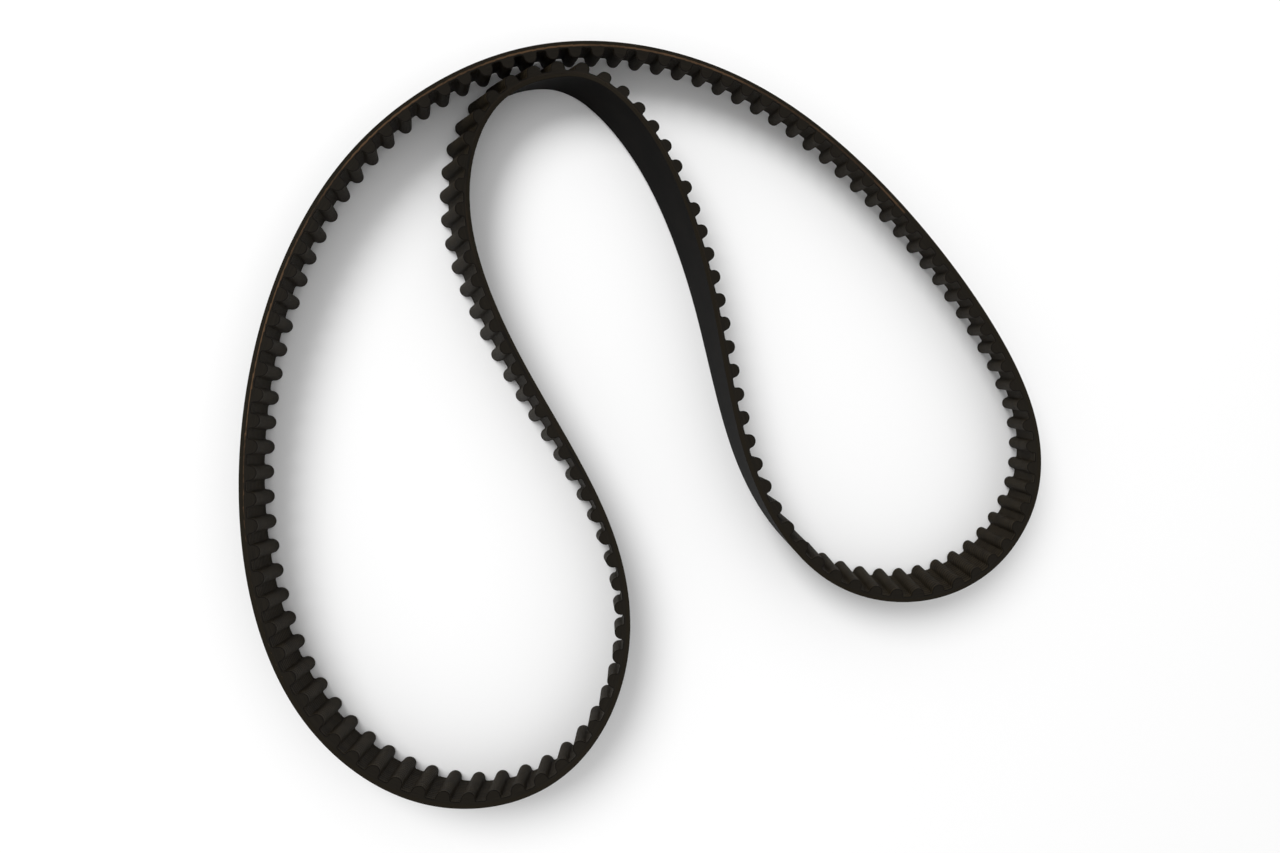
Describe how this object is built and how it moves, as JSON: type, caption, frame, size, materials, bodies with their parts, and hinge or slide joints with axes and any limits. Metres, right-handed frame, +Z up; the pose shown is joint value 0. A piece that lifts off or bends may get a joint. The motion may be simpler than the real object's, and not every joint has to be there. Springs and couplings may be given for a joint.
{
  "type": "timing belt",
  "caption": "Endless black rubber timing belt with round teeth inside, standing on its edge and bent into a loose horseshoe.",
  "frame": {"origin": "centre of the belt's footprint, on the surface it stands on", "axes": "+Z up, along the belt's width; +X from the left lobe of the horseshoe to the right lobe; +Y away from the viewer"},
  "size_m": [0.3294, 0.3012, 0.0218],
  "materials": {
    "back_rubber": "ground matte",
    "tooth_rubber": "moulded, cut at the edges",
    "nylon_facing": "woven, rubber-coated",
    "glass_cord": "twisted, resin-dipped"
  },
  "bodies": {
    "root": {"back_rubber": "back_rubber", "tensile_cord_s_twist": "glass_cord", "tensile_cord_z_twist": "glass_cord", "tooth_rubber": "tooth_rubber", "facing_fabric": "nylon_facing"}
  },
  "joints": []
}
